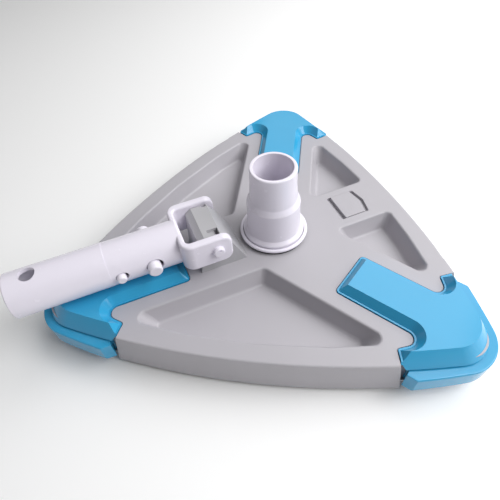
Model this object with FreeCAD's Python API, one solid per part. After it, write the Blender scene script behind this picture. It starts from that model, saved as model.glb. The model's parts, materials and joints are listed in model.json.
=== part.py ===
"""Triangular manual vacuum head for pools: weighted body, corner caps and bumpers, brushes,
swivelling hose spigot and a hinged pole handle with a sprung snap clip.

Lengths are in millimetres. Geometry is drawn about the triangle's centre, with the handle
along -X and +Z up, and every node is moved by SHIFT_X on export so that the origin is the
bottom centre of the whole part.
"""
import FreeCAD, Part

import math
import os

V = FreeCAD.Vector

# ---------------------------------------------------------------- driving dimensions
SHIFT_X = 34.5          # moves the triangle's centre to the bounding-box centre
DECK_Z = 32.0           # top of the deck above the floor
SKIRT_Z = 4.0           # bottom edge of the skirt above the floor
DECK_T = 3.2            # deck thickness
WALL_T = 3.0            # skirt thickness
SIDE_N = 105.6          # centre to the middle of each side, at deck level
SIDE_R = 574.7          # radius of the bowed sides
CORNER_R = 18.5         # plan radius of the body's corners
DRAFT = 1.4             # outward draft of the skirt over its height
CORNERS = {"left": 180.0, "rear": 60.0, "right": -60.0}
SIDES = {"front": -120.0, "rear_left": 120.0, "right": 0.0}

RIB_HALF = 29.5         # half width of the solid band between pockets
POCKET_DEPTH = 13.0
POCKET_DRAFT = 4.5
POCKET_RIM = 1.8        # rounding of the pocket rims
POCKET_ROOT = 2.5       # rounding of the pocket floors
POCKET_WALL = 2.6
BRIDGE_HALF = 19.3      # half width of the bridge across the right-hand pocket
RIM_N = 93.2            # centre to the pockets' outer rims
RIM_BOW = 0.00119       # how much those rims bow

CAP_TOP = 6.2           # cap plateau above the deck
CAP_SINK = 1.5          # cap base below the deck
CAP_BEVEL = 4.3         # plan width of the cap's inner bevels
CAP_LEDGE = 1.1         # flat ledge round the cap's foot
CAP_GAP = 0.7           # gap round the cap
CAP_SKIRT = 4.6         # how far the cap wraps down over the side
BAND_TOP = 6.0          # flat top of the bumper band below the deck
BAND_BOTTOM = 21.0      # bottom of the bumper band below the deck
BAND_N = 114.5          # side distance of the bumper band's outline
BAND_SIDE_R = 467.0     # radius of the bumper band's bowed sides
BAND_R = 26.5           # plan radius of the bumper band's corner
BAND_HALF = 41.4        # the band ends on planes beside the corner axis
WALL_HALF = 42.2        # so do the body's walls
RECESS = 3.0            # how far the body steps in behind cap and band

SPIGOT_X = 4.0          # swivel axis
SPIGOT_TOP = 60.5       # above the deck
HOSE_R = 16.0           # upper spigot, 1 1/4 inch hose
HOSE_STEP_R = 19.0      # lower spigot, 1 1/2 inch hose
FOOT_R = 22.3           # flared foot of the spigot
BORE_R = 13.5
NECK_R = 20.0
COLLAR_R = 25.0         # fixed ring round the foot
SWIVEL_GAP = 0.3

PIN_X = -45.5           # handle pivot
PIN_Z = 24.6            # above the deck
PIN_R = 4.0
BRACKET_HALF = 16.0
BRACKET_SCREWS = ((-30.0, 11.0), (-30.0, -11.0), (-49.5, 11.0), (-49.5, -11.0))
FORK_IN = 16.35
FORK_OUT = 21.8
FORK_LOW = 12.4
FORK_HIGH = 35.0
TIP_X = -35.2
TIP_R = 6.5             # corner radius of the fork's ends

TUBE_Z = 22.2           # tube axis above the deck
TUBE_R = 15.0           # front land, enters the pole
TUBE_REAR_R = 14.8
TUBE_BORE_R = 12.6
TUBE_END_X = -176.0
TUBE_END_ROUND = 1.0
LAND_X = -115.0         # end of the front land
LOCK_X = -160.5         # cross hole
LOCK_R = 5.2
CLIP_X = -140.0         # bend of the snap clip
SMALL_X = -108.9
SMALL_R = 3.15
SMALL_Y = 18.0
LARGE_X = -87.4
LARGE_R = 4.6
LARGE_Y = 20.0
HEAD_Y = -24.8          # the pivot pin's domed head

WEIGHT_T = 11.5
SCREW_R = 2.0
SCREW_RS = (92.0, 122.0)    # cap screws along each corner axis
BAR_N = (76.0, 83.0)        # brush bars, across the side
BAR_HALF = 60.0
BAR_T = 7.0
BAR_SCREW_V = 45.0

os.makedirs("parts", exist_ok=True)


# ---------------------------------------------------------------- helpers
def save(name, shape):
    """Move one node into the shared frame and write it."""
    shape = shape.copy()
    shape.translate(V(SHIFT_X, 0, 0))
    shape.exportStep("parts/" + name + ".step")
    box = shape.BoundBox
    print(name, shape.ShapeType, len(shape.Solids), "valid", shape.isValid(), "vol", round(shape.Volume),
          "z", round(box.ZMin, 2), round(box.ZMax, 2))


def turned(shape, angle):
    """Copy a shape turned about the triangle's centre."""
    out = shape.copy()
    out.rotate(V(0, 0, 0), V(0, 0, 1), angle)
    return out


def polar(r, angle):
    a = math.radians(angle)
    return V(r * math.cos(a), r * math.sin(a), 0)


def outline(offset, z, corner_r, side_n=SIDE_N, side_r=SIDE_R):
    """Bowed triangle with rounded corners at one height."""
    reach = side_r - side_n
    rho = side_r + offset
    d = -0.5 * reach + math.sqrt((rho - corner_r) ** 2 - 0.75 * reach ** 2)
    joints = []
    for corner in (-60.0, 60.0, 180.0):
        centre = polar(d, corner)
        before = centre - polar(-reach, corner - 60.0)
        after = centre - polar(-reach, corner + 60.0)
        before.normalize()
        after.normalize()
        joints.append((centre + before * corner_r, polar(d + corner_r, corner), centre + after * corner_r))
    lift = V(0, 0, z)
    edges = []
    for i in range(3):
        start, tip, end = joints[i]
        mid_side = polar(side_n + offset, 120.0 * i)
        edges.append(Part.Arc(start + lift, tip + lift, end + lift).toShape())
        edges.append(Part.Arc(end + lift, mid_side + lift, joints[(i + 1) % 3][0] + lift).toShape())
    return Part.Wire(edges)


def drafted(wire_a, wire_b):
    return Part.makeLoft([wire_a, wire_b], True, True)


def inset(points, d, least=0.3):
    """Move every edge of a counter-clockwise polygon inwards by d; corner radii follow."""
    out = []
    count = len(points)
    for i in range(count):
        x0, y0, _ = points[i - 1]
        x1, y1, r = points[i]
        x2, y2, _ = points[(i + 1) % count]
        a = V(x1 - x0, y1 - y0, 0)
        b = V(x2 - x1, y2 - y1, 0)
        a.normalize()
        b.normalize()
        na = V(-a.y, a.x, 0)
        nb = V(-b.y, b.x, 0)
        k = d / (1.0 + na.dot(nb))
        turn = a.x * b.y - a.y * b.x
        radius = r - d if turn > 0 else r + d
        out.append((x1 + (na.x + nb.x) * k, y1 + (na.y + nb.y) * k, max(radius, least)))
    return out


def rounded(points, z, angle=0.0):
    """Closed wire through a polygon with each corner rounded by its own radius."""
    count = len(points)
    marks = []
    for i in range(count):
        p0 = V(points[i - 1][0], points[i - 1][1], 0)
        p1 = V(points[i][0], points[i][1], 0)
        p2 = V(points[(i + 1) % count][0], points[(i + 1) % count][1], 0)
        u = p0 - p1
        w = p2 - p1
        u.normalize()
        w.normalize()
        half = 0.5 * u.getAngle(w)
        r = points[i][2]
        cut = r / math.tan(half)
        middle = u + w
        middle.normalize()
        apex = p1 + middle * (r / math.sin(half) - r)
        marks.append((p1 + u * cut, apex, p1 + w * cut))
    lift = V(0, 0, z)
    edges = []
    for i in range(count):
        start, apex, end = marks[i]
        following = marks[(i + 1) % count][0]
        edges.append(Part.Arc(start + lift, apex + lift, end + lift).toShape())
        edges.append(Part.makeLine(end + lift, following + lift))
    wire = Part.Wire(edges)
    wire.rotate(V(0, 0, 0), V(0, 0, 1), angle)
    return wire


def prism(points, z0, z1, angle=0.0):
    face = Part.Face(rounded(points, z0, angle))
    return face.extrude(V(0, 0, z1 - z0))


def polygon(points, z, angle=0.0):
    ring = [V(x, y, z) for x, y in points]
    wire = Part.makePolygon(ring + [ring[0]])
    wire.rotate(V(0, 0, 0), V(0, 0, 1), angle)
    return wire


def revolve(profile, x, y):
    """Turn an (r, z) profile about a vertical axis."""
    ring = [V(r, 0, z) for r, z in profile]
    face = Part.Face(Part.makePolygon(ring + [ring[0]]))
    solid = face.revolve(V(0, 0, 0), V(0, 0, 1), 360)
    solid.translate(V(x, y, 0))
    return solid


def rod(r, x, y, z0, z1):
    return Part.makeCylinder(r, z1 - z0, V(x, y, z0))


def cross_rod(r, x, z, y0, y1):
    return Part.makeCylinder(r, y1 - y0, V(x, y0, z), V(0, 1, 0))


def along_rod(r, x0, x1, z):
    return Part.makeCylinder(r, x1 - x0, V(x0, 0, z), V(1, 0, 0))


def block(x0, x1, y0, y1, z0, z1):
    return Part.makeBox(x1 - x0, y1 - y0, z1 - z0, V(x0, y0, z0))


def fillet_where(shape, radius, keep):
    """Round the edges that keep() picks, leaving the shape as it was if they can't be."""
    edges = [e for e in shape.Edges if keep(e)]
    try:
        out = shape.makeFillet(radius, edges)
        if out.isValid() and out.Solids:
            return out
    except Exception:
        pass
    print("fillet skipped", radius, len(edges))
    return shape


def is_inner(edge):
    """True for an edge of the deck's pockets, away from the outer edge."""
    box = edge.BoundBox
    x = 0.5 * (box.XMin + box.XMax)
    y = 0.5 * (box.YMin + box.YMax)
    reach = max(x * math.cos(a) + y * math.sin(a) for a in (0.0, math.radians(120.0), math.radians(-120.0)))
    return reach < RIM_N + 0.5


def compound(solids):
    return Part.makeCompound(solids)


# ---------------------------------------------------------------- plan shapes
def arrow():
    """Cap footprint about its corner axis: a shaft, two notches and two barbs."""
    upper = [(67.8, 18.2, 2.5), (131.0, 18.2, 5.6), (118.6, 32.8, 1.2), (131.0, 48.5, 0.4)]
    points = [(200.0, 48.5, 0.4)] + [p for p in reversed(upper)]
    points += [(x, -y, r) for x, y, r in upper] + [(200.0, -48.5, 0.4)]
    return points


def arrow_low():
    """The same footprint at the foot of the cap's side, where the barbs are cut back."""
    barb = (137.2, 46.4)
    points = []
    for x, y, r in arrow():
        if x == 131.0 and abs(y) == 48.5:
            x, y = barb[0], math.copysign(barb[1], y)
        points.append((x, y, r))
    return points


def wall_ends(forward, spread):
    """Region round a corner where cap and band replace the body's wall."""
    half = WALL_HALF + spread
    lower = [(117.4, 0.0), (120.0 + forward, -35.8), (125.2 + forward, -half), (220.0, -half)]
    upper = [(x, -y) for x, y in lower[:0:-1]]
    return lower + upper


def pocket_full():
    """Pocket outline for one side, x outwards and y along the side."""
    slope = math.tan(math.radians(60.0))
    apex = RIB_HALF / math.sin(math.radians(60.0))
    tip_v = 87.0
    tip_n = apex + tip_v / slope
    points = [(apex, 0.0, 5.0), (tip_n, -tip_v, 5.0)]
    points += [(RIM_N - RIM_BOW * v * v, v, 90.0) for v in (-46.0, 0.0, 46.0)]
    points.append((tip_n, tip_v, 5.0))
    return points


def pocket_half():
    """Half pocket beside the bridge, on the positive side."""
    full = pocket_full()
    slope = math.tan(math.radians(60.0))
    inner_n = full[0][0] + BRIDGE_HALF / slope
    outer_n = RIM_N - RIM_BOW * BRIDGE_HALF ** 2 + 0.2
    outer = full[-1]
    crown = (full[-2][0], full[-2][1], 90.0)
    return [(inner_n, BRIDGE_HALF, 4.0), (outer_n, BRIDGE_HALF, 4.0), crown, outer]


def plate():
    """Outline of the blank cover plate on the bridge."""
    return [(59.4, -12.1, 0.8), (76.4, -12.1, 0.8), (78.8, 0.0, 1.0), (76.4, 12.1, 0.8), (59.4, 12.1, 0.8)]


def plate_recess():
    return [(56.2, -12.5, 0.8), (79.4, -12.5, 0.8), (82.0, 0.0, 1.0), (79.4, 12.5, 0.8), (56.2, 12.5, 0.8)]


# ---------------------------------------------------------------- body shell
floor_z = DECK_Z - POCKET_DEPTH
under_z = floor_z - POCKET_WALL
body = drafted(outline(DRAFT, SKIRT_Z, CORNER_R + DRAFT), outline(0, DECK_Z, CORNER_R))
body = fillet_where(body, 1.4, lambda e: e.BoundBox.ZMin > DECK_Z - 0.01)

corner_zone = []
for corner in CORNERS.values():
    deck_ends = polygon(wall_ends(0.0, 0.0), DECK_Z, corner)
    zone = drafted(polygon(wall_ends(5.5, -2.1), 0.0, corner), deck_ends)
    zone = zone.fuse(Part.Face(deck_ends).extrude(V(0, 0, 20)))
    corner_zone.append(zone)

shells = []
for side in SIDES.values():
    if side == 0.0:
        upper = pocket_half()
        lower = [(x, -y, r) for x, y, r in reversed(upper)]
        shapes = [upper, lower]
    else:
        shapes = [pocket_full()]
    for points in shapes:
        floor_points = inset(points, POCKET_DRAFT, 3.2)
        cut = drafted(rounded(floor_points, floor_z, side), rounded(points, DECK_Z, side))
        cut = fillet_where(cut, POCKET_ROOT, lambda e: e.BoundBox.ZMax < floor_z + 0.01)
        body = body.cut(cut)
        shells.append(drafted(rounded(inset(floor_points, -POCKET_WALL), under_z, side),
                              rounded(inset(points, -POCKET_WALL), DECK_Z - DECK_T + 0.5, side)))
body = fillet_where(body, POCKET_RIM, lambda e: e.BoundBox.ZMin > DECK_Z - 0.01 and is_inner(e))

cavity = drafted(outline(DRAFT - WALL_T - RECESS, SKIRT_Z - 1, 12.0),
                 outline(-WALL_T - RECESS, DECK_Z - DECK_T, 12.0))
wide = drafted(outline(DRAFT - WALL_T, SKIRT_Z - 1, 15.5), outline(-WALL_T, DECK_Z - DECK_T, 15.5))
for zone in corner_zone:
    wide = wide.cut(zone)
cavity = cavity.fuse(wide)
collar = rod(24.0, SPIGOT_X, 0, DECK_Z - 8.7, DECK_Z - DECK_T + 0.5)
cavity = cavity.cut(compound(shells)).cut(collar)
body = body.cut(cavity)

outer_ring = prism([(-250, -250, 1), (250, -250, 1), (250, 250, 1), (-250, 250, 1)], 0, DECK_Z + 3)
core = drafted(outline(-RECESS, -1, 15.5), outline(-RECESS, DECK_Z + 4, 15.5))
ledge = drafted(outline(-0.8, DECK_Z - BAND_BOTTOM - 1.9, CORNER_R),
                outline(-0.8, DECK_Z - BAND_BOTTOM - 0.1, CORNER_R))
step = outer_ring.cut(core).cut(ledge)
for zone in corner_zone:
    body = body.cut(step.common(zone))
for corner in CORNERS.values():
    foot = prism(inset(arrow(), -CAP_GAP), DECK_Z - CAP_SINK, DECK_Z + 3, corner)
    body = body.cut(foot)
    for r in SCREW_RS:
        hole = rod(SCREW_R + 0.2, r, 0, 0, DECK_Z + 3)
        body = body.cut(turned(hole, corner))
body = body.cut(rod(NECK_R + SWIVEL_GAP, SPIGOT_X, 0, DECK_Z - 20, DECK_Z + 3))
body = body.cut(prism(plate_recess(), DECK_Z - 2.2, DECK_Z + 3))
for v in (-7.0, 7.0):
    body = body.cut(block(66.0, 70.0, v - 2.0, v + 2.0, 10, DECK_Z + 1))
for x, y in BRACKET_SCREWS:
    body = body.cut(rod(SCREW_R + 0.2, x, y, 10, DECK_Z + 3))
for side in SIDES.values():
    for v in (-BAR_SCREW_V, BAR_SCREW_V):
        body = body.cut(turned(rod(1.5, 79.5, v, 10, under_z + 1.8), side))
save("body_shell", body)

# ---------------------------------------------------------------- corner caps, bumper bands, weights
screws = []
for name, corner in CORNERS.items():
    base = prism(arrow(), DECK_Z - CAP_SINK, DECK_Z + 0.6, 0)
    top = drafted(rounded(inset(arrow(), CAP_LEDGE), DECK_Z + 0.6),
                  rounded(inset(arrow(), CAP_LEDGE + CAP_BEVEL), DECK_Z + CAP_TOP))
    cap = base.fuse(top)
    wrap = drafted(rounded(arrow_low(), DECK_Z - CAP_SKIRT), rounded(arrow(), DECK_Z))
    hood_core = drafted(outline(-RECESS, DECK_Z - 8, 15.5), outline(-RECESS, DECK_Z + 0.01, 15.5))
    wrap = wrap.cut(turned(hood_core, 180.0))
    cap = cap.fuse(wrap)
    hood = drafted(outline(0.1, DECK_Z - CAP_SKIRT, 23.0), outline(-6.6, DECK_Z + CAP_TOP, 19.5))
    cap = cap.common(turned(hood, 180.0))
    hollow = drafted(rounded(inset(arrow(), 4.2), DECK_Z - CAP_SINK - 0.01),
                     rounded(inset(arrow(), 7.8), DECK_Z + CAP_TOP - 2.6))
    limit = drafted(outline(-5.5, DECK_Z - 3, 17.0), outline(-10.2, DECK_Z + CAP_TOP, 15.0))
    hollow = hollow.common(turned(limit, 180.0))
    for r in SCREW_RS:
        hollow = hollow.cut(rod(4.6, r, 0, 0, 80))
    cap = cap.cut(hollow)
    for r in SCREW_RS:
        cap = cap.cut(rod(SCREW_R, r, 0, 0, DECK_Z + 3.6))
    cap = cap.removeSplitter()
    save("corner_cap_" + name, turned(cap, corner))

    low = DECK_Z - BAND_BOTTOM
    rim_z = DECK_Z - BAND_TOP
    band = None
    rings = [(-1.6, low), (-0.4, low + 0.5), (0.0, low + 1.7), (0.0, rim_z - 0.6), (-0.6, rim_z)]
    for (offset_a, z_a), (offset_b, z_b) in zip(rings[:-1], rings[1:]):
        layer = drafted(outline(offset_a, z_a, BAND_R + offset_a, BAND_N, BAND_SIDE_R),
                        outline(offset_b, z_b, BAND_R + offset_b, BAND_N, BAND_SIDE_R))
        band = layer if band is None else band.fuse(layer)
    band_core = drafted(outline(-RECESS, low - 1, 15.5), outline(-RECESS, DECK_Z, 15.5))
    band = turned(band.cut(band_core), 180.0)
    band = band.common(block(60, 260, -BAND_HALF, BAND_HALF, low - 1, DECK_Z))
    for y0, y1 in ((-60.0, -36.0), (36.0, 60.0)):
        band = band.cut(block(60, 129.6, y0, y1, low - 1, DECK_Z))
    band = band.removeSplitter()
    save("bumper_band_" + name, turned(band, corner))

    weight = prism([(80, -18, 4), (126, -24, 6), (147, -8, 6), (147, 8, 6), (126, 24, 6), (80, 18, 4)],
                   DECK_Z - DECK_T - WEIGHT_T, DECK_Z - DECK_T)
    for r in SCREW_RS:
        weight = weight.cut(rod(SCREW_R + 0.2, r, 0, 0, 80))
        head = DECK_Z - DECK_T - WEIGHT_T
        screw = rod(SCREW_R, r, 0, head - 0.1, DECK_Z + 3.4)
        screw = screw.fuse(rod(3.8, r, 0, head - 2.6, head))
        screw = screw.cut(block(r - 2.6, r + 2.6, -0.5, 0.5, head - 3, head - 1.4))
        screw = screw.cut(block(r - 0.5, r + 0.5, -2.6, 2.6, head - 3, head - 1.4))
        screws.append(turned(screw, corner))
    save("weight_" + name, turned(weight, corner))
save("cap_screws", compound(screws))

# ---------------------------------------------------------------- brushes
bar_screws = []
for name, side in SIDES.items():
    bar_low = under_z - BAR_T
    n0, n1 = BAR_N
    bar = prism([(n0, -BAR_HALF, 2), (n1, -BAR_HALF, 2), (n1, BAR_HALF, 2), (n0, BAR_HALF, 2)],
                bar_low, under_z)
    middle = 0.5 * (n0 + n1)
    groove = block(middle - 1.6, middle + 1.6, -BAR_HALF + 4, BAR_HALF - 4, bar_low - 1, bar_low + 2.5)
    for v in (-BAR_SCREW_V, BAR_SCREW_V):
        groove = groove.cut(rod(3.6, middle, v, 0, 30))
    bar = bar.cut(groove)
    bristles = block(middle - 1.6, middle + 1.6, -BAR_HALF + 4, BAR_HALF - 4, 0.0, bar_low + 2.5)
    for v in (-BAR_SCREW_V, BAR_SCREW_V):
        bar = bar.cut(rod(SCREW_R, middle, v, 0, 30))
        bar = bar.cut(rod(3.4, middle, v, 0, bar_low + 2.2))
        bristles = bristles.cut(rod(3.6, middle, v, -1, 30))
        screw = rod(1.5, middle, v, bar_low + 2.0, under_z + 1.6)
        screw = screw.fuse(rod(3.0, middle, v, bar_low + 0.4, bar_low + 2.2))
        bar_screws.append(turned(screw, side))
    save("brush_bar_" + name, turned(bar, side))
    save("bristles_" + name, turned(bristles, side))
save("brush_screws", compound(bar_screws))

# ---------------------------------------------------------------- blank cover plate
cover = prism(plate(), DECK_Z - 2.2, DECK_Z + 0.5)
for v in (-7.0, 7.0):
    leg = block(66.2, 69.0, v - 1.8, v + 1.8, DECK_Z - DECK_T - 1.6, DECK_Z - 1.0)
    hook = block(66.2, 69.0, v - 1.8, v + 1.8, DECK_Z - DECK_T - 1.6, DECK_Z - DECK_T - 0.2)
    hook.translate(V(-1.0, 0, 0))
    cover = cover.fuse(leg).fuse(hook)
cover = cover.removeSplitter()
save("cover_plate", cover)

# ---------------------------------------------------------------- hose spigot
z = DECK_Z
profile = [(BORE_R, z + SPIGOT_TOP), (HOSE_R - 0.6, z + SPIGOT_TOP), (HOSE_R, z + SPIGOT_TOP - 0.6),
           (HOSE_R, z + 48.0), (HOSE_R + 0.9, z + 35.8), (HOSE_STEP_R, z + 31.4),
           (HOSE_STEP_R, z + 21.0), (HOSE_STEP_R + 0.9, z + 8.3), (FOOT_R - 0.3, z + 6.2),
           (FOOT_R, z + 5.8), (FOOT_R, z + 2.5),
           (NECK_R, z + 2.5), (NECK_R, z - 9.1), (NECK_R - 1.2, z - 9.1), (NECK_R - 1.2, z - 11.0),
           (NECK_R, z - 11.0), (NECK_R, z - 12.0), (17.0, z - 12.0), (17.0, z - 2.0), (BORE_R, z + 20.0)]
save("hose_spigot", revolve(profile, SPIGOT_X, 0))
ring = rod(23.4, SPIGOT_X, 0, z - 10.9, z - 9.2).cut(rod(NECK_R - 1.1, SPIGOT_X, 0, 0, 80))
ring = ring.cut(block(SPIGOT_X, SPIGOT_X + 30, -1.5, 1.5, 0, 80))
save("spigot_retaining_ring", ring)
seal = rod(23.9, SPIGOT_X, 0, z, z + 2.2).cut(rod(NECK_R + 0.6, SPIGOT_X, 0, 0, 80))
save("spigot_seal", seal)
collar_profile = [(FOOT_R + 0.35, z + 2.2), (COLLAR_R - 0.4, z + 2.2), (COLLAR_R, z + 2.6),
                  (COLLAR_R, z + 3.4), (COLLAR_R - 0.2, z + 3.9), (COLLAR_R - 0.7, z + 4.2),
                  (FOOT_R + 0.5, z + 4.2), (FOOT_R + 0.35, z + 4.0)]
save("spigot_collar", revolve(collar_profile, SPIGOT_X, 0))


# ---------------------------------------------------------------- pivot bracket
def side_profile(points, y0, y1):
    """Extrude an (x, z) outline across the part."""
    ring = [V(x, y0, z) for x, z in points]
    return Part.Face(Part.makePolygon(ring + [ring[0]])).extrude(V(0, y1 - y0, 0))


d = DECK_Z
bracket = side_profile([(-24, d), (-30, d + 12.7), (-35, d + 23), (-40.6, d + 31.8), (-52.0, d + 31.8),
                        (-56.4, d + 28.6), (-57.6, d + 4), (-58.4, d)], -BRACKET_HALF, BRACKET_HALF)
inside = side_profile([(-34, d + 6), (-37, d + 13), (-40, d + 21.5), (-42.0, d + 26.2), (-50.2, d + 27.2),
                       (-53.8, d + 24.4), (-54.4, d + 6)], -BRACKET_HALF + 3.2, BRACKET_HALF - 3.2)
bracket = bracket.cut(inside)
bracket = bracket.cut(block(-48.6, -41.2, -16.1, -8.3, d + 29.2, d + 40))
bracket = bracket.cut(block(-43.8, -41.2, -12.8, -8.3, d + 24, d + 40))
bracket = bracket.cut(block(-44.8, -41.2, 14.0, 17.0, d + 29.0, d + 40))
bracket = bracket.cut(cross_rod(PIN_R + 0.06, PIN_X, d + PIN_Z, -30, 30))
for x, y in BRACKET_SCREWS:
    top_z = d + 8.0 if x > -40 else d + 5.0
    bracket = bracket.cut(rod(SCREW_R, x, y, d - 1, top_z))
save("pivot_bracket", bracket)
mount_screws = []
for x, y in BRACKET_SCREWS:
    top_z = d + 7.6 if x > -40 else d + 4.6
    screw = rod(SCREW_R, x, y, d - DECK_T - 0.1, top_z)
    screw = screw.fuse(rod(3.8, x, y, d - DECK_T - 2.6, d - DECK_T))
    screw = screw.cut(block(x - 2.6, x + 2.6, y - 0.5, y + 0.5, d - DECK_T - 3, d - DECK_T - 1.4))
    mount_screws.append(screw)
save("bracket_screws", compound(mount_screws))

# ---------------------------------------------------------------- pole handle: tube and fork
fork = block(-68.8, TIP_X, -FORK_OUT, FORK_OUT, d + FORK_LOW, d + FORK_HIGH)
fork = fillet_where(fork, TIP_R, lambda e: e.BoundBox.XMin > TIP_X - 0.1 and e.BoundBox.YLength > 30)
fork = fillet_where(fork, 7.5, lambda e: e.BoundBox.XMax < -68.7 and e.BoundBox.ZLength > 15)
slot = block(-64.6, -20, -FORK_IN, FORK_IN, d, d + 60)
slot = fillet_where(slot, 3.0, lambda e: e.BoundBox.XMax < -64.5 and e.BoundBox.ZLength > 40)
fork = fork.cut(slot)
fork = fillet_where(fork, 1.6, lambda e: (e.BoundBox.ZMin > d + FORK_HIGH - 0.01
                                          or e.BoundBox.ZMax < d + FORK_LOW + 0.01))
tube = along_rod(TUBE_REAR_R, LAND_X, -66.5, d + TUBE_Z)
front = along_rod(TUBE_R, TUBE_END_X, LAND_X, d + TUBE_Z)
front = fillet_where(front, TUBE_END_ROUND,
                     lambda e: e.BoundBox.XMax < TUBE_END_X + 0.1 and e.BoundBox.YLength > 20)
tube = tube.fuse(front)
handle = tube.fuse(fork)
handle = handle.cut(along_rod(TUBE_BORE_R, TUBE_END_X - 1, -74.0, d + TUBE_Z))
handle = handle.cut(block(-66.4, -20, -FORK_IN + 3.0, FORK_IN - 3.0, d + 40, d + 60))
handle = handle.cut(slot)
handle = handle.cut(rod(LOCK_R, LOCK_X, 0, 0, 120))
for sign in (-1, 1):
    y0, y1 = sorted((0, sign * 24))
    for x, r in ((SMALL_X, SMALL_R + 0.35), (LARGE_X, LARGE_R + 0.4)):
        handle = handle.cut(cross_rod(r, x, d + TUBE_Z, y0, y1))
        handle = handle.cut(cross_rod(r, x + 1.5, d + TUBE_Z, y0, y1))
        handle = handle.cut(block(x, x + 1.5, y0, y1, d + TUBE_Z - r, d + TUBE_Z + r))
handle = handle.cut(cross_rod(PIN_R, PIN_X, d + PIN_Z, -40, 40))
handle = handle.removeSplitter()
save("pole_handle", handle)

pin = cross_rod(PIN_R, PIN_X, d + PIN_Z, HEAD_Y, 24.6)
pin = fillet_where(pin, 1.2, lambda e: e.BoundBox.YMax < HEAD_Y + 0.1)
pin = pin.cut(cross_rod(0.9, PIN_X + 0.6, d + PIN_Z + 2.2, HEAD_Y - 1, HEAD_Y + 1.1))
groove = cross_rod(PIN_R + 1, PIN_X, d + PIN_Z, 21.9, 22.9)
groove = groove.cut(cross_rod(PIN_R - 0.8, PIN_X, d + PIN_Z, 20, 24))
pin = pin.cut(groove)
save("pivot_pin", pin)
clip = cross_rod(6.2, PIN_X, d + PIN_Z, 21.95, 22.85).cut(cross_rod(PIN_R - 0.75, PIN_X, d + PIN_Z, 20, 24))
clip = clip.cut(block(PIN_X - 1.5, PIN_X + 1.5, 20, 24, d, d + PIN_Z))
save("pin_clip", clip)

# ---------------------------------------------------------------- snap clip in the tube
inner = along_rod(TUBE_BORE_R - 0.02, CLIP_X - 10, CLIP_X + 10, d + TUBE_Z)
bend = rod(3.4, CLIP_X, 0, d + 5, d + 40).common(inner)
save("clip_bend", bend)
for sign, name in ((-1, "clip_arm_near"), (1, "clip_arm_far")):
    strip_points = [(4.2, 1.4), (56.0, 10.2), (56.0, 11.9), (4.0, 3.0)]
    ring = [V(CLIP_X + x, sign * y, d + TUBE_Z - 4.5) for x, y in strip_points]
    arm = Part.Face(Part.makePolygon(ring + [ring[0]])).extrude(V(0, 0, 9.0))
    for x, r, reach, dome in ((SMALL_X, SMALL_R, SMALL_Y, 1.2), (LARGE_X, LARGE_R, LARGE_Y, 1.3)):
        root = 0.17 * (x - CLIP_X) + 0.9
        y0, y1 = sorted((sign * root, sign * reach))
        button = cross_rod(r, x, d + TUBE_Z, y0, y1)
        button = fillet_where(button, dome, lambda e: abs(e.BoundBox.YMin - sign * reach) < 0.01
                              and e.BoundBox.YLength < 0.01)
        arm = arm.fuse(button)
    arm = arm.removeSplitter()
    save(name, arm)
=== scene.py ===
"""Looks of the triangular vacuum head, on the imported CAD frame. Lengths are in metres."""

import json
import math
import random

import bpy
from mathutils import Matrix, Vector


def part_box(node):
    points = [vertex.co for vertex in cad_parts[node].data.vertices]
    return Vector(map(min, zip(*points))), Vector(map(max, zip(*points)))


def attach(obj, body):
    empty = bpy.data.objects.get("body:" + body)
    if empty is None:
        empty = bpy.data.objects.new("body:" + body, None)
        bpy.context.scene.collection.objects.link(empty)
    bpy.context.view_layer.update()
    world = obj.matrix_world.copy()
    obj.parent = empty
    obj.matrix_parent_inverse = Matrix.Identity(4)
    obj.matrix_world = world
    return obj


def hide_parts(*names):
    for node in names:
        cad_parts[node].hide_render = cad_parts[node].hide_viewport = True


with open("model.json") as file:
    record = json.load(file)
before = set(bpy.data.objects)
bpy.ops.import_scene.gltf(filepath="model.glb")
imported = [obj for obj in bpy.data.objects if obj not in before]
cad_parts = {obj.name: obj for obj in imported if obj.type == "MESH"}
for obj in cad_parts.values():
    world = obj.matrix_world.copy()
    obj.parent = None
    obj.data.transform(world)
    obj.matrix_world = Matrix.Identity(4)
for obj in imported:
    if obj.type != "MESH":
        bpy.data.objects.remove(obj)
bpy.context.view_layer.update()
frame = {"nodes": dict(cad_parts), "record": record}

nodes = frame["nodes"]
scene = bpy.context.scene
MM = 0.001

spigot_low, spigot_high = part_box("hose_spigot")
SPIGOT_OFFSET = 4.0 * MM    # swivel axis ahead of the triangle's centre
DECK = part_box("body_shell")[1].z
CENTRE = Vector(((spigot_low.x + spigot_high.x) / 2 - SPIGOT_OFFSET, 0.0, 0.0))


# ---------------------------------------------------------------- materials
SCATTER = 4.0 * MM          # how far light spreads in the white plastic
DRIFT_SCALE = 28.0          # colour drift
PATCH_SCALE = 160.0         # roughness patches
GRAIN_SCALE = 2600.0        # moulded texture
GRAIN_HEIGHT = 0.25 * MM


def new_material(name, colour, roughness, subsurface=0.0):
    mat = bpy.data.materials.new(name)
    mat.use_nodes = True
    shader = mat.node_tree.nodes["Principled BSDF"]
    shader.inputs["Base Color"].default_value = (*colour, 1.0)
    shader.inputs["Roughness"].default_value = roughness
    if subsurface:
        shader.inputs["Subsurface Weight"].default_value = subsurface
        shader.inputs["Subsurface Radius"].default_value = (SCATTER, SCATTER, SCATTER)
    return mat


def node(mat, kind, **inputs):
    item = mat.node_tree.nodes.new(kind)
    for key, value in inputs.items():
        item.inputs[key.replace("_", " ")].default_value = value
    return item


def link(mat, source, target):
    mat.node_tree.links.new(source, target)


def position(mat):
    return node(mat, "ShaderNodeNewGeometry").outputs["Position"]


def noise(mat, scale, detail, rough=0.5):
    item = node(mat, "ShaderNodeTexNoise", Scale=scale, Detail=detail, Roughness=rough)
    link(mat, position(mat), item.inputs["Vector"])
    return item.outputs["Fac"]


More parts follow.
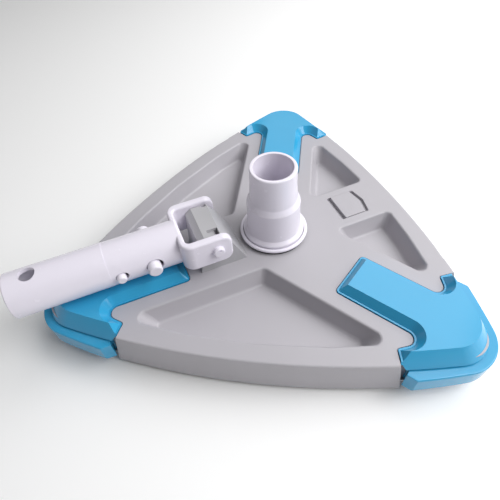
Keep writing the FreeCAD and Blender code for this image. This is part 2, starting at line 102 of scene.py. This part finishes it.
def remap(mat, value, low, high):
    item = node(mat, "ShaderNodeMapRange", To_Min=low, To_Max=high)
    link(mat, value, item.inputs["Value"])
    return item.outputs["Result"]


def tint(mat, fac, dark, light):
    item = mat.node_tree.nodes.new("ShaderNodeMix")
    item.data_type = "RGBA"
    item.inputs[6].default_value = (*dark, 1.0)
    item.inputs[7].default_value = (*light, 1.0)
    link(mat, fac, item.inputs[0])
    return item.outputs[2]


def bump(mat, height, strength, distance):
    item = node(mat, "ShaderNodeBump", Strength=strength, Distance=distance)
    link(mat, height, item.inputs["Height"])
    link(mat, item.outputs["Normal"], mat.node_tree.nodes["Principled BSDF"].inputs["Normal"])


def plastic(name, colour, roughness, spread=0.03, grain=0.0, subsurface=0.0):
    """Moulded plastic: slow colour drift, patchy roughness and a fine moulded texture."""
    mat = new_material(name, colour, roughness, subsurface)
    shader = mat.node_tree.nodes["Principled BSDF"]
    dark = tuple(max(c * (1.0 - spread), 0.0) for c in colour)
    light = tuple(min(c * (1.0 + spread), 1.0) for c in colour)
    drift = tint(mat, noise(mat, DRIFT_SCALE, 2.0), dark, light)
    link(mat, drift, shader.inputs["Base Color"])
    patches = remap(mat, noise(mat, PATCH_SCALE, 4.0), roughness * 0.85, roughness * 1.15)
    link(mat, patches, shader.inputs["Roughness"])
    if grain:
        bump(mat, noise(mat, GRAIN_SCALE, 3.0, 0.6), grain, GRAIN_HEIGHT)
    return mat


BODY = plastic("body_grey", (0.445, 0.430, 0.462), 0.48, grain=0.10)
BRACKET = plastic("bracket_grey", (0.46, 0.455, 0.475), 0.42, grain=0.10)
CAP = plastic("cap_blue", (0.036, 0.36, 0.63), 0.13, spread=0.04)
BAND = plastic("bumper_blue", (0.036, 0.345, 0.60), 0.16, spread=0.04)
PVC = plastic("pvc_white", (0.82, 0.785, 0.875), 0.26, spread=0.012, subsurface=0.12)
CLIP = plastic("clip_white", (0.81, 0.78, 0.86), 0.28, spread=0.012, subsurface=0.12)
IRON = plastic("weight_iron", (0.08, 0.08, 0.085), 0.55, grain=0.5)
STEEL = new_material("steel", (0.60, 0.60, 0.59), 0.32)
STEEL.node_tree.nodes["Principled BSDF"].inputs["Metallic"].default_value = 1.0
RUBBER = plastic("seal_rubber", (0.02, 0.02, 0.022), 0.6, grain=0.1)
BAR = plastic("brush_bar", (0.10, 0.11, 0.12), 0.5, grain=0.1)
BRISTLE = plastic("bristle", (0.30, 0.36, 0.42), 0.5)

BY_SLOT = {"body_grey": BODY, "bracket_grey": BRACKET, "cap_blue": CAP, "bumper_blue": BAND,
           "pvc_white": PVC, "clip_white": CLIP, "weight_iron": IRON, "steel": STEEL,
           "seal_rubber": RUBBER, "brush_bar": BAR, "bristle": BRISTLE}
for part in frame["record"]["subparts"]:
    mesh = nodes[part["node"]].data
    mesh.materials.clear()
    mesh.materials.append(BY_SLOT[part["material_slot"]])


# ---------------------------------------------------------------- soft moulded edges on the CAD nodes
WELD_GAP = 0.004 * MM
FLAT_ANGLE = 0.6        # degrees; facets this close to level are joined first
SHARP_ANGLE = 30.0      # degrees; edges above it are rounded
SHALLOW_ANGLE = 12.0    # the same on nodes with shallow chamfers


def soften(name, width, angle):
    """Round a CAD node's edges above an angle, as moulding leaves them."""
    piece = nodes[name]
    weld = piece.modifiers.new("weld", "WELD")
    weld.merge_threshold = WELD_GAP
    flat = piece.modifiers.new("flat", "DECIMATE")
    flat.decimate_type = "DISSOLVE"
    flat.angle_limit = math.radians(FLAT_ANGLE)
    bevel = piece.modifiers.new("round", "BEVEL")
    bevel.width = width
    bevel.segments = 3
    bevel.limit_method = "ANGLE"
    bevel.angle_limit = math.radians(angle)
    bevel.miter_outer = "MITER_ARC"
    bevel.harden_normals = True
    normals = piece.modifiers.new("normals", "WEIGHTED_NORMAL")
    normals.keep_sharp = True


# bevel width of each node, in mm
EDGE = {"body_shell": 0.5, "cover_plate": 0.25, "pivot_bracket": 0.7, "hose_spigot": 0.35,
        "spigot_collar": 0.3, "pole_handle": 0.45, "pivot_pin": 0.2, "clip_bend": 0.3,
        "clip_arm_near": 0.3, "clip_arm_far": 0.3}
for corner in ("left", "rear", "right"):
    EDGE["corner_cap_" + corner] = 1.6
    EDGE["bumper_band_" + corner] = 0.5
    EDGE["weight_" + corner] = 0.8
SHALLOW_EDGED = ("hose_spigot", "spigot_collar")
for name, width in EDGE.items():
    soften(name, width * MM, SHALLOW_ANGLE if name in SHALLOW_EDGED else SHARP_ANGLE)

# ---------------------------------------------------------------- bristles
SIDE_ANGLE = {"front": -120.0, "rear_left": 120.0, "right": 0.0}
row_low, row_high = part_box("bristles_right")
ROW_N = (row_low.x + row_high.x) / 2 - CENTRE.x
ROW_V = (row_high.y - row_low.y) / 2
ROOT_Z = row_high.z
TUFT_PITCH = 3.2 * MM
TUFT_R = 1.05 * MM
SCREW_V = 45.0 * MM         # the bars' screws, along the side
SCREW_CLEAR = 4.6 * MM      # no tufts this close to a screw
FILAMENTS = 14              # in a tuft
FILAMENT_ROOT_R = 0.16 * MM
FILAMENT_TIP_R = 0.11 * MM
TIP_LIFTS = (0.0, 0.0, 0.15, 0.3)   # height of the tips above the floor, in mm
GOLDEN_ANGLE = 2.39996


def brush(name, angle, draw):
    """One brush: tufts of thin tapered filaments in a row along a side of the triangle."""
    verts, faces = [], []
    span = 2.0 * ROW_V - 2.0 * TUFT_R
    count = int(span / TUFT_PITCH)
    for i in range(count + 1):
        v = -ROW_V + TUFT_R + i * span / count
        if abs(abs(v) - SCREW_V) < SCREW_CLEAR:
            continue
        for j in range(FILAMENTS):
            turn = j * GOLDEN_ANGLE + draw.uniform(-0.3, 0.3)
            reach = TUFT_R * math.sqrt((j + 0.5) / FILAMENTS)
            root = Vector((ROW_N + reach * math.cos(turn), v + reach * math.sin(turn), ROOT_Z))
            flare = reach * draw.uniform(1.15, 1.45)
            tip = Vector((ROW_N + flare * math.cos(turn), v + flare * math.sin(turn),
                          draw.choice(TIP_LIFTS) * MM))
            first = len(verts)
            for centre, radius in ((root, FILAMENT_ROOT_R), (tip, FILAMENT_TIP_R)):
                for k in range(3):
                    a = turn + k * math.tau / 3.0
                    verts.append(centre + Vector((radius * math.cos(a), radius * math.sin(a), 0.0)))
            for k in range(3):
                m = (k + 1) % 3
                faces.append((first + k, first + 3 + k, first + 3 + m, first + m))
            faces.append((first + 5, first + 4, first + 3))
    mesh = bpy.data.meshes.new(name)
    mesh.from_pydata(verts, [], faces)
    mesh.transform(Matrix.Translation(CENTRE) @ Matrix.Rotation(math.radians(angle), 4, "Z"))
    mesh.materials.append(BRISTLE)
    piece = bpy.data.objects.new(name, mesh)
    scene.collection.objects.link(piece)
    return piece


for seed, (side, angle) in enumerate(SIDE_ANGLE.items(), start=11):
    piece = brush("brush_" + side, angle, random.Random(seed))
    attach(piece, "head")
    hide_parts("bristles_" + side)

# ---------------------------------------------------------------- floor
FLOOR_HALF = 6.0
corners = [(x * FLOOR_HALF, y * FLOOR_HALF, 0.0) for x, y in ((-1, -1), (1, -1), (1, 1), (-1, 1))]
floor_mesh = bpy.data.meshes.new("floor")
floor_mesh.from_pydata(corners, [], [(0, 1, 2, 3)])
floor_mesh.materials.append(new_material("floor_pale", (0.97, 0.97, 0.97), 0.7))
floor = bpy.data.objects.new("floor", floor_mesh)
scene.collection.objects.link(floor)

# ---------------------------------------------------------------- light
world = bpy.data.worlds.new("studio")
scene.world = world
world.use_nodes = True
sky = world.node_tree.nodes["Background"]
sky.inputs["Color"].default_value = (1.0, 1.0, 1.0, 1.0)
sky.inputs["Strength"].default_value = 0.17


def softbox(name, azimuth, elevation, distance, size, power):
    """A rectangular light aimed at the head's centre, from an azimuth and elevation in degrees."""
    data = bpy.data.lights.new(name, "AREA")
    data.shape = "RECTANGLE"
    data.size, data.size_y = size
    data.energy = power
    lamp = bpy.data.objects.new(name, data)
    turn, rise = math.radians(azimuth), math.radians(elevation)
    away = Vector((math.cos(turn) * math.cos(rise), math.sin(turn) * math.cos(rise), math.sin(rise)))
    lamp.location = CENTRE + away * distance
    lamp.rotation_mode = "QUATERNION"
    lamp.rotation_quaternion = (-away).to_track_quat("-Z", "Y")
    scene.collection.objects.link(lamp)


softbox("key_front", -38.0, 46.0, 1.1, (0.8, 0.8), 10.2)
softbox("key_right", 4.0, 46.0, 1.05, (0.95, 1.0), 5.2)
softbox("key_back", 45.0, 50.0, 1.1, (0.8, 0.8), 2.4)
softbox("fill_left", 170.0, 40.0, 1.5, (1.2, 1.0), 1.0)

scene.view_settings.view_transform = "Standard"

# ---------------------------------------------------------------- camera
AZIMUTH, ELEVATION, ROLL = math.radians(-19.34), math.radians(50.25), math.radians(-4.24)
DISTANCE = 0.32799
AIM = CENTRE + Vector((-0.01487, 0.00337, DECK - 0.018))
SENSOR = 36.0
LENS_PER_SENSOR = 0.83644
back = Vector((math.sin(AZIMUTH) * math.cos(ELEVATION), -math.cos(AZIMUTH) * math.cos(ELEVATION),
               math.sin(ELEVATION)))
right = Vector((math.cos(AZIMUTH), math.sin(AZIMUTH), 0.0))
up = back.cross(right)
x_axis = math.cos(ROLL) * right + math.sin(ROLL) * up
y_axis = math.cos(ROLL) * up - math.sin(ROLL) * right
camera_data = bpy.data.cameras.new("camera")
camera_data.sensor_width = SENSOR
camera_data.lens = SENSOR * LENS_PER_SENSOR
camera_data.clip_start = 0.01
camera = bpy.data.objects.new("camera", camera_data)
rotation = Matrix((x_axis, y_axis, back)).transposed().to_4x4()
camera.matrix_world = Matrix.Translation(AIM + back * DISTANCE) @ rotation
scene.collection.objects.link(camera)
scene.camera = camera
